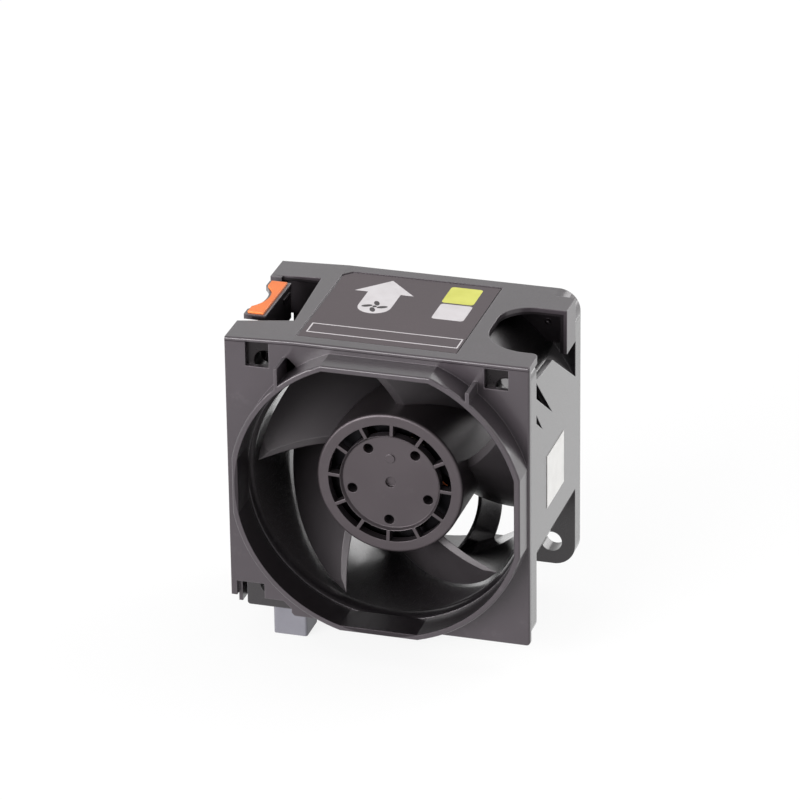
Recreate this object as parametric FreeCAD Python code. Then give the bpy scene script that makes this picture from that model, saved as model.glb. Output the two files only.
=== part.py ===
import FreeCAD, Part
import math
import os

from FreeCAD import Vector

# Server fan module: a 60 mm axial fan in a plastic carrier that drops into a server's fan bay.
# Millimetres. X to the right seen from the inlet, Y along the airflow, Z up.
# The origin is the fan's axis at the rear face of its outlet flange.
# A size called "back" is a distance behind the front face of the carrier's plate.

# Fan housing
fan_depth = 38.0
fan_half_width = 30.0
fan_top_drop = 0.5
flange_thickness = 4.0
hole_inset = 5.0
hole_radius = 2.2
front_corner_radius = 2.4
front_left_corner_radius = 0.6
rear_corner_radius = 4.5
duct_side_wall = 1.4
duct_wall = 3.8
inlet_lip_width = 0.6
inlet_lip_depth = 3.0
outlet_flare_back = 29.0
outlet_flare = 1.6
outlet_side_wall = 3.0
web_thickness = 1.2
web_front_drop = 4.0
web_peak_drop = 4.8
web_peak_run = 12.1
window_top_drop = 0.5
small_window_run = 4.6
pocket_depth = 2.6
pocket_width = 5.0
pocket_height = 6.0
pocket_wall = 1.5

# Outlet vanes and motor base
vane_count = 9
vane_front_back = 31.7
vane_rear_back = 38.2
vane_thickness = 1.3
vane_phase = 39.7
vane_sweep = 1.9
vane_twist = 6.7
vane_twist_growth = 0.53
vane_section_count = 5
base_radius = 15.3
base_wall = 1.2
base_depth = 9.0
base_floor = 2.0
tube_seat_floor = 0.8
base_edge_chamfer = 0.6

# Carrier plate and cover
plate_thickness = 1.2
plate_side_gap = 3.0
plate_drop = 1.0
plate_corner_radius = 0.8
cover_thickness = 1.5
cover_over_fan = 1.0
cover_slope_width = 14.0
cover_slope_drop = 0.6
cover_edge_radius = 0.4
side_wall_thickness = 1.2
side_wall_foot_gap = 2.4
side_wall_top_gap = 7.5
side_wall_back = 35.9
post_front_back = 31.0
post_proud = 0.4
post_width = 2.4
post_overlap = 0.8
inner_wall_back = 33.2
inner_wall_thickness = 1.5
pip_radius = 0.65
pip_x = 24.8
pip_height = 25.6
catch_width = 6.0
catch_foot_gap = 8.0
catch_reach = 1.2
catch_thickness = 1.6
foot_tab_thickness = 0.8
foot_tab_drop = 1.8
foot_tab_length = 4.0
foot_tab_overlap = 2.0

# Collar around the inlet
collar_over_fan = 0.8
collar_left_cut = 0.6
collar_right_cut = 1.2
collar_top_cut = 2.1
collar_bottom_cut = 1.1
collar_height = 5.9
collar_wall = 1.2
collar_rim_radius = 0.35
left_fin_inset = 9.95
left_fin_thickness = 0.63
left_fin_height = 4.2
right_fin_inset = 11.45
right_fin_thickness = 0.82
right_fin_height = 2.4
fin_root = 0.7
notch_width = 2.6
notch_peak_width = 0.7
notch_fall = 2.2

# Openings in the carrier
window_size = 4.9
left_window_shift = 1.25
right_window_shift = 1.75
window_top_gap = 1.1
left_window_height = 5.3
right_window_height = 4.3
corner_cut_top_gap = 5.6
corner_cut_step_gap = 4.1
corner_cut_step_drop = 2.3
corner_cut_end_gap = 8.1
corner_cut_foot_gap = 9.8
corner_cut_foot_drop = 0.7
grip_width = 12.5
grip_front_back = 7.0
grip_rear_back = 28.5
grip_front_radius = 9.5
grip_rear_radius = 6.5
grip_horn_radius = 1.4
latch_opening_front_width = 11.5
latch_opening_rear_width = 10.3
latch_opening_edge_back = 8.2
latch_opening_front_back = 10.1
latch_opening_rear_back = 31.8
tab_thickness = 1.4
tab_drop = 8.5

# Top label and side label
label_left_gap = 0.3
label_right_gap = 3.4
label_front_back = 3.4
label_rear_back = 36.0
label_corner = 1.8
label_thickness = 0.2
label_groove = 0.35
label_sink = 0.3
side_label_front_back = 13.0
side_label_rear_back = 25.8
side_label_top = 5.3
side_label_bottom = 6.2
side_label_thickness = 0.12

# Latch
latch_head_gap = 0.3
latch_head_width = 4.6
latch_head_front_back = 11.5
latch_head_rear_back = 28.5
latch_head_drop = 0.1
latch_head_thickness = 1.1
latch_scoop = 2.1
latch_scoop_start = 2.5
pad_thickness = 1.0
pad_sink = 0.6
pad_rim = 0.65
skirt_thickness = 0.7
skirt_height = 6.4
skirt_end_gap = 0.5
skirt_rib_count = 7
skirt_rib_pitch = 0.62
skirt_rib_width = 0.3
skirt_rib_height = 1.0
skirt_rib_reach = 0.25
skirt_rib_back = 25.2
arm_thickness = 1.4
arm_wall_gap = 0.1
arm_front_back = 17.5
arm_rear_back = 26.5
arm_step = 1.3
arm_step_drop = 3.5
pivot_drop = 0.24
pivot_radius = 0.78
hook_wall_gap = 0.5
hook_height = 2.6
hook_reach = 2.2
socket_gap = 0.12
socket_wall = 0.9
socket_depth = 2.6

# Connector
connector_side_gap = 7.8
connector_width = 7.1
connector_front_back = 3.2
connector_rear_back = 10.4
connector_reach = 7.0
connector_neck_front_back = 6.2
connector_duct_gap = 0.38
connector_corner_radius = 0.5
contact_count = 4
contact_pitch = 1.5
contact_width = 0.5
contact_hole_depth = 5.0
contact_hole_size = 0.9
bracket_thickness = 1.2
bracket_front_back = 5.3
bracket_rear_back = 13.0
bracket_overhang = 1.5
bracket_clearance = 0.1
bracket_wall_height = 4.0

# Impeller
blade_count = 5
hub_radius = 15.3
hub_wall = 0.9
hub_face_back = 3.3
hub_disc_back = 4.0
hub_plate_back = 5.4
hub_rear_back = 29.4
hub_edge_radius = 0.6
slot_count = 12
slot_outer_radius = 12.9
slot_inner_radius = 10.5
spoke_width = 0.7
spoke_phase = 27.6
hub_seat_gap = 0.6
disc_edge_radius = 10.0
hub_hole_count = 5
hub_hole_circle = 8.35
hub_hole_radius = 1.05
hub_hole_phase = 51.3
dimple_radius = 1.1
dimple_depth = 0.7
gate_height = 5.3
gate_radius = 0.95
gate_proud = 0.25
blade_tip_gap = 0.6
blade_tip_front_back = 4.3
blade_root_front_back = 8.6
blade_rear_back = 29.0
blade_phase = 104.5
blade_root_wrap = 87.0
blade_tip_wrap = 60.8
blade_camber = 0.25
blade_root_thickness = 1.5
blade_tip_thickness = 1.0
blade_section_count = 7
blade_trim_margin = 1.0

# Rotor inside the hub
cup_front_back = 6.6
cup_wall = 0.8
cup_rear_back = 28.4
cup_window_count = 6
cup_window_radius = 1.9
cup_window_circle = 10.0
magnet_wall = 1.6
magnet_front_back = 8.0
magnet_rear_back = 27.6
shaft_radius = 1.5
shaft_rear_back = 36.6
boss_radius = 3.0
boss_flange_radius = 4.3
boss_flange_thickness = 1.0
boss_rear_back = 8.6
clip_thickness = 0.35
clip_radius = 2.4
clip_groove_radius = 1.15
clip_gap_width = 1.6
clip_clearance = 0.03
spring_thickness = 0.6
spring_outer_radius = 2.2

# Bearings and stator
bearing_radius = 4.0
bearing_width = 4.0
bearing_outer_wall = 0.7
bearing_inner_wall = 0.7
ball_count = 7
ball_clearance = 0.03
shield_thickness = 0.2
shield_clearance = 0.05
front_bearing_back = 9.4
rear_bearing_back = 31.0
tube_wall = 1.0
tube_front_back = 9.0
air_gap = 0.4
core_front_back = 12.5
core_rear_back = 24.5
core_ring_wall = 1.8
tooth_count = 6
tooth_width = 3.2
tooth_phase = 30.0
shoe_thickness = 1.2
shoe_gap = 1.8
insulator_thickness = 0.4
insulator_lip_height = 1.2
coil_thickness = 1.2
coil_inner_radius = 7.3
coil_outer_radius = 9.9
coil_corner_radius = 0.5

# Circuit board
board_front_back = 31.0
board_thickness = 1.0
board_radius = 13.4
board_hole_gap = 0.2
pin_count = 3
pin_radius = 0.3
pin_circle = 6.1
pin_stub = 0.8
chip_size = 4.0
chip_height = 1.0
chip_circle = 9.6
chip_angles = (35.0, 155.0, 275.0)
capacitor_radius = 1.5
capacitor_height = 2.6
capacitor_circle = 9.4
capacitor_angles = (95.0, 215.0)
sensor_width = 3.0
sensor_depth = 1.4
sensor_height = 1.2
sensor_circle = 11.6
sensor_angle = 60.0

# Planes and sizes that follow from the ones above
fan_front = -fan_depth
fan_top = fan_half_width - fan_top_drop
fan_bottom = fan_half_width
hole_offset = fan_half_width - hole_inset
duct_radius = fan_half_width - duct_side_wall
duct_outer_radius = duct_radius + duct_wall
duct_flat_height = math.sqrt(duct_outer_radius ** 2 - fan_half_width ** 2)
front_face = fan_front - plate_thickness
plate_left = fan_half_width + plate_side_gap
plate_right = fan_half_width
plate_bottom = fan_bottom + plate_drop
cover_top = fan_top + cover_over_fan
cover_bottom = cover_top - cover_thickness
cover_slope_start = plate_left - cover_slope_width
side_wall_inner = -plate_left + side_wall_thickness
side_wall_bottom = fan_bottom - side_wall_foot_gap
side_wall_top = fan_top - side_wall_top_gap
collar_radius = fan_half_width + collar_over_fan
left_fin_x = -collar_radius + left_fin_inset
right_fin_x = collar_radius - right_fin_inset
grip_left = plate_right - grip_width
corner_cut_top = fan_bottom - corner_cut_top_gap
pivot_x = side_wall_inner + arm_wall_gap + arm_thickness / 2
pivot_height = duct_flat_height - pivot_drop
latch_head_left = plate_left - latch_head_gap
latch_head_right = latch_head_left - latch_head_width
latch_head_bottom = cover_bottom - latch_head_drop
connector_left = plate_left - connector_side_gap
connector_right = connector_left - connector_width
connector_bottom = fan_bottom + connector_reach
blade_tip_radius = duct_radius - blade_tip_gap
tube_radius = bearing_radius + tube_wall
cup_radius = hub_radius - hub_wall
magnet_radius = cup_radius - cup_wall
core_radius = magnet_radius - magnet_wall - air_gap
far = 100.0


def back(distance):
    return front_face + distance


def box(x0, x1, y0, y1, z0, z1):
    return Part.makeBox(x1 - x0, y1 - y0, z1 - z0, Vector(x0, y0, z0))


def rod(radius, y0, y1, x=0.0, z=0.0):
    return Part.makeCylinder(radius, y1 - y0, Vector(x, y0, z), Vector(0, 1, 0))


def ring(outer, inner, y0, y1):
    return rod(outer, y0, y1).cut(rod(inner, y0, y1))


# A closed outline of (radius, y) points turned about the fan's axis.
def turned(points):
    wire = Part.makePolygon([Vector(r, y, 0) for r, y in points + points[:1]])
    return Part.Face(wire).revolve(Vector(0, 0, 0), Vector(0, 1, 0), 360)


# Outlines drawn in one plane and pushed along the third axis.
def front_slab(points, y0, y1):
    wire = Part.makePolygon([Vector(x, y0, z) for x, z in points + points[:1]])
    return Part.Face(wire).extrude(Vector(0, y1 - y0, 0))


def side_slab(points, x0, x1):
    wire = Part.makePolygon([Vector(x0, y, z) for y, z in points + points[:1]])
    return Part.Face(wire).extrude(Vector(x1 - x0, 0, 0))


def plan_slab(points, z0, z1):
    wire = Part.makePolygon([Vector(x, y, z0) for x, y in points + points[:1]])
    return Part.Face(wire).extrude(Vector(0, 0, z1 - z0))


def spun(shape, angle):
    turned_copy = shape.copy()
    turned_copy.rotate(Vector(0, 0, 0), Vector(0, -1, 0), angle)
    return turned_copy


# Copies evenly spaced about the fan's axis, counted anticlockwise seen from the inlet.
def around(shape, count, phase=0.0):
    return [spun(shape, phase + 360.0 * index / count) for index in range(count)]


def joined(shapes):
    return shapes[0].multiFuse(shapes[1:]).removeSplitter()


# Straight edges along one axis whose middle lies where the test says.
def edges_along(shape, axis, test):
    chosen = []
    for edge in shape.Edges:
        if len(edge.Vertexes) != 2:
            continue
        run = edge.Vertexes[1].Point.sub(edge.Vertexes[0].Point)
        if run.Length < 1e-6 or abs(abs(run.dot(axis)) - run.Length) > 1e-6:
            continue
        if test(edge.CenterOfMass):
            chosen.append(edge)
    return chosen


def rounded(shape, radius, axis, test):
    return shape.makeFillet(radius, edges_along(shape, axis, test))


along_x = Vector(1, 0, 0)
along_y = Vector(0, 1, 0)
along_z = Vector(0, 0, 1)


def rear_flange():
    flange = box(-fan_half_width, fan_half_width, -flange_thickness, 0, -fan_bottom, fan_top)
    return rounded(flange, rear_corner_radius, along_y, lambda p: True)


def front_flange():
    y1 = fan_front + flange_thickness
    flange = box(-fan_half_width, fan_half_width, fan_front, y1, -fan_bottom, fan_top)
    flange = rounded(flange, front_corner_radius, along_y, lambda p: p.x > 0)
    return rounded(flange, front_left_corner_radius, along_y, lambda p: p.x < -fan_half_width + 0.1)


# The wall that closes the duct's upper right corner, with its two three-cornered windows.
def side_web():
    y0 = fan_front + flange_thickness
    y1 = -flange_thickness
    peak_y = y0 + web_peak_run
    foot = duct_flat_height
    front_top = fan_top - web_front_drop
    outline = [(y0, foot - 1.2), (y0, front_top), (peak_y, fan_top - web_peak_drop),
               (y1, foot + 0.8), (y1, foot - 1.2)]
    web = side_slab(outline, fan_half_width - web_thickness, fan_half_width)
    window = [(y0, foot + 9.3), (y0, front_top - window_top_drop), (peak_y, foot + 1.0)]
    small_window = [(y0, foot + 3.9), (y0, foot + 5.8), (y0 + small_window_run, foot + 0.6)]
    for points in (window, small_window):
        web = web.cut(side_slab(points, fan_half_width - 2 * web_thickness, fan_half_width + 1))
    return web


# The duct's bore: a rounded inlet lip, then straight, with its four corners flared to the outlet.
def duct_space():
    lip_radius = duct_radius + inlet_lip_width
    lip_end = fan_front + inlet_lip_depth
    bulge = 1 - math.sqrt(0.5)
    middle = Vector(duct_radius + inlet_lip_width * bulge, fan_front + inlet_lip_depth * bulge, 0)
    corners = [Vector(lip_radius, fan_front, 0), middle, Vector(duct_radius, lip_end, 0)]
    line = [corners[2], Vector(duct_radius, 0, 0), Vector(0, 0, 0), Vector(0, fan_front, 0), corners[0]]
    edges = [Part.Arc(*corners).toShape()]
    edges += [Part.LineSegment(a, b).toShape() for a, b in zip(line, line[1:])]
    bore = Part.Face(Part.Wire(edges)).revolve(Vector(0, 0, 0), along_y, 360)
    flare_y = back(outlet_flare_back)
    cone = Part.makeCone(duct_radius, duct_radius + outlet_flare, -flare_y, Vector(0, flare_y, 0), along_y)
    side = fan_half_width - outlet_side_wall
    return bore.fuse(cone.common(box(-side, side, flare_y, 0, -side, side)))


def motor_base():
    seat_y = -tube_seat_floor
    inner = base_radius - base_wall
    return turned([(0, 0), (0, seat_y), (tube_radius, seat_y), (tube_radius, -base_floor),
                   (inner, -base_floor), (inner, -base_depth), (base_radius, -base_depth),
                   (base_radius, -base_edge_chamfer), (base_radius - base_edge_chamfer, 0)])


# One swept and twisted outlet vane before it is trimmed to the motor base and the duct. Each section
# is a thin strip in a plane square to its own radius, and leans further the farther out it lies.
def vane():
    y0 = back(vane_front_back)
    y1 = back(vane_rear_back)
    inner = base_radius - base_wall / 2
    outer = duct_radius + 2 * base_wall
    wires = []
    for index in range(vane_section_count):
        radius = inner + (outer - inner) * index / (vane_section_count - 1)
        run = radius - base_radius
        twist = math.radians(vane_twist + vane_twist_growth * run)
        middle = math.radians(-vane_sweep * run) - twist / 2
        reach = radius * math.tan(twist / 2)
        length = math.hypot(2 * reach, y1 - y0)
        shift_t = (y1 - y0) / length * vane_thickness / 2
        shift_y = -2 * reach / length * vane_thickness / 2
        radial = Vector(math.cos(middle), 0, math.sin(middle)) * radius
        across = Vector(-math.sin(middle), 0, math.cos(middle))
        corners = []
        for t, y, sign in ((-reach, y0, -1), (reach, y1, -1), (reach, y1, 1), (-reach, y0, 1)):
            corners.append(radial + across * (t + sign * shift_t) + Vector(0, y + sign * shift_y, 0))
        wires.append(Part.makePolygon(corners + corners[:1]))
    return Part.makeLoft(wires, True, False)


def outlet_vanes():
    space = duct_space().cut(rod(base_radius, fan_front, 0))
    return Part.makeCompound([sheet.common(space) for sheet in around(vane(), vane_count, vane_phase)])


# The fan's flanges and duct before boring, which also give the carrier its seat.
def fan_envelope():
    duct = rod(duct_outer_radius, fan_front, 0).common(
        box(-fan_half_width, fan_half_width, fan_front, 0, -fan_bottom, fan_top))
    return joined([front_flange(), rear_flange(), duct])


# The height of the collar's circle at a distance from the fan's middle.
def collar_rise(x):
    return math.sqrt(collar_radius ** 2 - x ** 2)


def left_fin_top():
    return collar_rise(left_fin_x) + left_fin_height


# A moulding pocket in the inlet flange behind the plate's notch.
def flange_pocket():
    x0 = left_fin_x - (pocket_width - left_fin_thickness) / 6
    top = left_fin_top() + 1.1
    pocket = box(x0, x0 + pocket_width, fan_front - 1, fan_front + pocket_depth, top - pocket_height, top)
    return pocket.cut(rod(duct_radius + pocket_wall, fan_front - 1, 0))


def fan_housing():
    shell = joined([fan_envelope(), side_web()]).cut(duct_space()).cut(flange_pocket())
    for x in (-hole_offset, hole_offset):
        for z in (-hole_offset, hole_offset):
            shell = shell.cut(rod(hole_radius, fan_front - 1, 1, x, z))
    return shell


# The collar's outline: a circle cut off flat on its four sides.
def collar_core(inset, y0, y1):
    flats = box(-collar_radius + collar_left_cut + inset, collar_radius - collar_right_cut - inset, y0, y1,
                -collar_radius + collar_bottom_cut + inset, collar_radius - collar_top_cut - inset)
    return rod(collar_radius - inset, y0, y1).common(flats)


def collar():
    y0 = front_face - collar_height
    tube = collar_core(0.0, y0, fan_front)
    rim = [edge for edge in tube.Edges if abs(edge.CenterOfMass.y - y0) < 1e-6]
    return tube.makeFillet(collar_rim_radius, rim)


# Two thin fins that stand on the plate against the collar.
def collar_fins():
    fins = []
    for x, thickness, height in ((left_fin_x, left_fin_thickness, left_fin_height),
                                 (right_fin_x - right_fin_thickness, right_fin_thickness, right_fin_height)):
        outer = x if x < 0 else x + thickness
        rise = collar_rise(outer)
        fins.append(box(x, x + thickness, front_face - collar_height, front_face,
                        rise - fin_root, rise + height))
    return fins


def front_plate():
    foot_x = -fan_half_width + corner_cut_foot_gap
    step_x = -fan_half_width + corner_cut_step_gap
    step_z = -fan_bottom + corner_cut_step_drop
    points = [(-plate_left, -side_wall_bottom), (-plate_left, cover_top - cover_slope_drop),
              (-cover_slope_start, cover_top), (plate_right, cover_top),
              (plate_right, -plate_bottom), (foot_x + plate_corner_radius, -plate_bottom),
              (foot_x, -plate_bottom + plate_corner_radius), (foot_x, -fan_bottom + corner_cut_foot_drop),
              (-fan_half_width + corner_cut_end_gap, step_z), (step_x, step_z),
              (step_x, -corner_cut_top), (side_wall_inner, -corner_cut_top),
              (side_wall_inner, -side_wall_bottom)]
    plate = front_slab(points, front_face, fan_front)
    lower_right = lambda p: p.x > plate_right - 0.1 and p.z < 0
    plate = rounded(plate, plate_corner_radius, along_y, lower_right)
    front_edges = [edge for edge in plate.Edges if abs(edge.CenterOfMass.y - front_face) < 1e-6
                   and (edge.CenterOfMass.z > fan_top or edge.CenterOfMass.x > plate_right - 0.01)]
    return plate.makeFillet(cover_edge_radius, front_edges)


# The small notch beside the left fin, outside the collar.
def plate_notch():
    x = left_fin_x + left_fin_thickness - 0.08
    top = left_fin_top()
    low = top - 2 * notch_fall
    points = [(x, low), (x, top), (x + notch_peak_width, top - 0.3), (x + notch_width, top - notch_fall),
              (x + notch_width, low)]
    y0 = front_face - 1
    y1 = fan_front + 1
    return front_slab(points, y0, y1).cut(collar_core(0.0, y0, y1))


# The two square windows in front of the fan's upper mounting holes.
def plate_windows():
    y0 = front_face - 1
    y1 = fan_front + 1
    top = cover_top - window_top_gap
    half = window_size / 2
    left_x = -hole_offset - left_window_shift
    right_x = hole_offset - right_window_shift
    return [box(left_x - half, left_x + half, y0, y1, top - left_window_height, top),
            box(right_x - half, right_x + half, y0, y1, top - right_window_height, top)]


def cover():
    points = [(-plate_left, cover_bottom), (-plate_left, cover_top - cover_slope_drop),
              (-cover_slope_start, cover_top), (plate_right, cover_top), (plate_right, cover_bottom)]
    return front_slab(points, fan_front, -flange_thickness).cut(latch_opening())


# The rounded rear rim that wraps the upper corners of the fan's outlet flange.
def rear_rim():
    y0 = -flange_thickness
    bottom = fan_top - rear_corner_radius
    points = [(-plate_left, bottom), (-plate_left, cover_top - cover_slope_drop),
              (-cover_slope_start, cover_top), (plate_right, cover_top), (plate_right, bottom)]
    rim = front_slab(points, y0, 0)
    right_corner = lambda p: p.x > plate_right - 0.1 and p.z > fan_top
    return rounded(rim, rear_corner_radius, along_y, right_corner)


# The finger grip: a wide cut-out in the cover, open to the right.
def grip_cut():
    y0 = back(grip_front_back)
    y1 = back(grip_rear_back)
    z0 = cover_bottom - 1
    z1 = cover_top + 1
    cut = box(grip_left, plate_right + far, y0, y1, z0, z1)
    middle = (y0 + y1) / 2
    cut = rounded(cut, grip_front_radius, along_z, lambda p: p.x < plate_right and p.y < middle)
    cut = rounded(cut, grip_rear_radius, along_z, lambda p: p.x < plate_right and p.y > middle)
    corner = box(plate_right - grip_horn_radius, plate_right + 1, y0 - grip_horn_radius, y0, z0, z1)
    horn = Part.makeCylinder(grip_horn_radius, z1 - z0,
                             Vector(plate_right - grip_horn_radius, y0 - grip_horn_radius, z0))
    return cut.fuse(corner.cut(horn))


def latch_opening():
    edge_y = back(latch_opening_edge_back)
    rear_y = back(latch_opening_rear_back)
    points = [(-plate_left - 1, edge_y), (-plate_left, edge_y),
              (-plate_left + latch_opening_front_width, back(latch_opening_front_back)),
              (-plate_left + latch_opening_rear_width, rear_y), (-plate_left - 1, rear_y)]
    return plan_slab(points, cover_bottom - 1, cover_top + 1)


def label_outline(grow, z0, z1):
    x0 = -cover_slope_start + label_left_gap - grow
    x1 = grip_left - label_right_gap + grow
    y0 = back(label_front_back) - grow
    y1 = back(label_rear_back) + grow
    points = [(x0, y0), (x1, y0), (x1, y1), (x0 + label_corner, y1), (x0, y1 - label_corner)]
    return plan_slab(points, z0, z1)


# The wall left of the fan, its catch behind the inlet flange and the posts up to the cover.
def left_wall():
    inner = side_wall_inner
    wall = box(-plate_left, inner, fan_front, back(side_wall_back), -side_wall_bottom, side_wall_top)
    front_post = box(-plate_left, inner, fan_front, back(latch_opening_edge_back),
                     side_wall_top, cover_bottom)
    post_x = -plate_left - post_proud
    rear_post = box(post_x, post_x + post_width, back(post_front_back), 0,
                    side_wall_top - post_overlap, cover_top - cover_slope_drop)
    catch_y = fan_front + flange_thickness + bracket_clearance
    catch_z = -fan_bottom + catch_foot_gap
    catch = box(inner, -fan_half_width + catch_reach, catch_y, catch_y + catch_thickness,
                catch_z, catch_z + catch_width)
    foot_tab = box(inner, inner + foot_tab_thickness, fan_front, fan_front + foot_tab_length,
                   -side_wall_bottom - foot_tab_drop, -corner_cut_top + foot_tab_overlap)
    return [wall, front_post, rear_post, catch, foot_tab]


# A half-round groove with two end stops, in which the latch's round foot turns.
def latch_socket():
    y0 = back(arm_front_back)
    y1 = back(arm_rear_back)
    block = box(side_wall_inner, -fan_half_width - socket_gap, y0 - socket_gap - socket_wall,
                y1 + socket_gap + socket_wall, pivot_height - socket_depth, pivot_height)
    return block.cut(rod(pivot_radius + socket_gap, y0 - socket_gap, y1 + socket_gap, pivot_x, pivot_height))


# The wall in front of the outlet flange, of which only the two upper corners stand clear of the duct.
def inner_wall():
    y0 = back(inner_wall_back)
    wall = box(side_wall_inner, plate_right - tab_thickness / 2, y0, y0 + inner_wall_thickness,
               side_wall_top - post_overlap, cover_bottom)
    pips = [Part.makeSphere(pip_radius, Vector(x, y0, pip_height)) for x in (-pip_x, pip_x)]
    return [wall] + pips


def carrier():
    tab = box(plate_right - tab_thickness, plate_right, back(grip_rear_back), -flange_thickness,
              fan_top - tab_drop, cover_bottom)
    shell = joined([front_plate(), cover(), rear_rim(), collar(), tab, latch_socket()]
                   + left_wall() + inner_wall() + collar_fins())
    cuts = [collar_core(collar_wall, front_face - collar_height - 1, fan_front), fan_envelope(),
            plate_notch(), grip_cut(), label_outline(label_groove, cover_top - label_sink, cover_top + 1)]
    for cut in cuts + plate_windows():
        shell = shell.cut(cut)
    return shell


def top_label():
    bottom = cover_top - label_sink
    return label_outline(0.0, bottom, bottom + label_thickness)


def side_label():
    return box(fan_half_width, fan_half_width + side_label_thickness, back(side_label_front_back),
               back(side_label_rear_back), -side_label_bottom, side_label_top)


# The latch's head seen from above, with the scooped outer side.
def head_outline(inset, z0, z1):
    x0 = -latch_head_left + inset
    x1 = -latch_head_right - inset
    y0 = back(latch_head_front_back) + inset
    y1 = back(latch_head_rear_back) - inset
    start = Vector(x0, y1 - latch_scoop_start, z0)
    end = Vector(x0, y0 + latch_scoop_start, z0)
    scoop = Part.Arc(start, Vector(x0 + latch_scoop, (y0 + y1) / 2, z0), end).toShape()
    points = [end, Vector(x0, y0, z0), Vector(x1, y0, z0), Vector(x1, y1, z0), Vector(x0, y1, z0), start]
    lines = [Part.LineSegment(a, b).toShape() for a, b in zip(points, points[1:])]
    return Part.Face(Part.Wire([scoop] + lines)).extrude(Vector(0, 0, z1 - z0))


# The thin skirt under the head's right side, with its row of small ribs.
def latch_skirt():
    x1 = -latch_head_right
    y0 = back(latch_head_front_back) + 2 * skirt_end_gap
    y1 = back(latch_head_rear_back) - skirt_end_gap
    skirt = box(x1 - skirt_thickness, x1, y0, y1, latch_head_bottom - skirt_height, latch_head_bottom)
    top = latch_head_bottom - skirt_rib_height / 3
    ribs = []
    for index in range(skirt_rib_count):
        y = back(skirt_rib_back) + (index - (skirt_rib_count - 1) / 2) * skirt_rib_pitch
        ribs.append(box(x1 - skirt_thickness / 2, x1 + skirt_rib_reach, y - skirt_rib_width / 2,
                        y + skirt_rib_width / 2, top - skirt_rib_height, top))
    return [skirt] + ribs


def latch_arm():
    head_top = latch_head_bottom + latch_head_thickness
    head = head_outline(0.0, latch_head_bottom, head_top)
    y0 = back(arm_front_back)
    y1 = back(arm_rear_back)
    x0 = pivot_x - arm_thickness / 2
    x1 = x0 + arm_thickness
    step_z = latch_head_bottom - arm_step_drop
    arm = front_slab([(x0, pivot_height), (x0, step_z), (x0 + arm_step, step_z + arm_step),
                      (x0 + arm_step, latch_head_bottom), (x1 + arm_step, latch_head_bottom),
                      (x1 + arm_step, step_z + arm_step - 0.3), (x1, step_z - 0.3), (x1, pivot_height)],
                     y0, y1)
    foot = rod(pivot_radius, y0, y1, pivot_x, pivot_height)
    hook_y0 = y0 + (y1 - y0) / 4
    hook_y1 = y1 - (y1 - y0) / 4
    bottom = side_wall_top + hook_wall_gap
    hook = front_slab([(x0, bottom), (x0 - hook_reach, bottom), (x0 - hook_reach, bottom + hook_height / 4),
                       (x0, bottom + hook_height)], hook_y0, hook_y1)
    latch = joined([head, arm, foot, hook] + latch_skirt())
    return latch.cut(head_outline(pad_rim, head_top - pad_sink, head_top + 1))


def latch_pad():
    bottom = latch_head_bottom + latch_head_thickness - pad_sink
    return head_outline(pad_rim, bottom, bottom + pad_thickness)


def contact_places():
    middle_x = -(connector_left + connector_right) / 2
    first = -(contact_count - 1) / 2
    return [middle_x + (first + index) * contact_pitch for index in range(contact_count)]


def connector_middle_y():
    return back((connector_neck_front_back + connector_rear_back) / 2)


def connector_housing():
    x0 = -connector_left
    x1 = -connector_right
    y1 = back(connector_rear_back)
    lower = box(x0, x1, back(connector_front_back), y1, -connector_bottom, -fan_bottom)
    lower = rounded(lower, connector_corner_radius, along_z, lambda p: True)
    neck_x = x1 - bracket_thickness
    neck_top = math.sqrt(duct_outer_radius ** 2 - neck_x ** 2) + connector_duct_gap
    neck = box(x0 + bracket_thickness, neck_x, back(connector_neck_front_back), y1, -fan_bottom, -neck_top)
    body = joined([lower, neck])
    half = contact_hole_size / 2
    y = connector_middle_y()
    for x in contact_places():
        hole = box(x - half, x + half, y - half, y + half, -connector_bottom - 1,
                   -connector_bottom + contact_hole_depth)
        body = body.cut(hole)
    return body


def connector_contacts():
    half = contact_width / 2
    y = connector_middle_y()
    top = -connector_bottom + contact_hole_depth
    return Part.makeCompound([box(x - half, x + half, y - half, y + half, -connector_bottom + half, top)
                              for x in contact_places()])


# The angle that carries the connector, from the left wall under the fan.
def connector_bracket():
    x0 = side_wall_inner
    y0 = back(bracket_front_back)
    y1 = back(bracket_rear_back)
    top = -fan_bottom + bracket_thickness
    plate = box(x0, -connector_right + bracket_overhang, y0, y1, -fan_bottom, top)
    wall = box(x0, x0 + bracket_thickness, y0, y1, top, top + bracket_wall_height)
    gap = bracket_thickness - bracket_clearance
    neck = box(-connector_left + gap, -connector_right - gap,
               back(connector_neck_front_back) - bracket_clearance,
               back(connector_rear_back) + bracket_clearance, -fan_bottom - 1, top + 1)
    return joined([plate, wall]).cut(neck)


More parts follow.
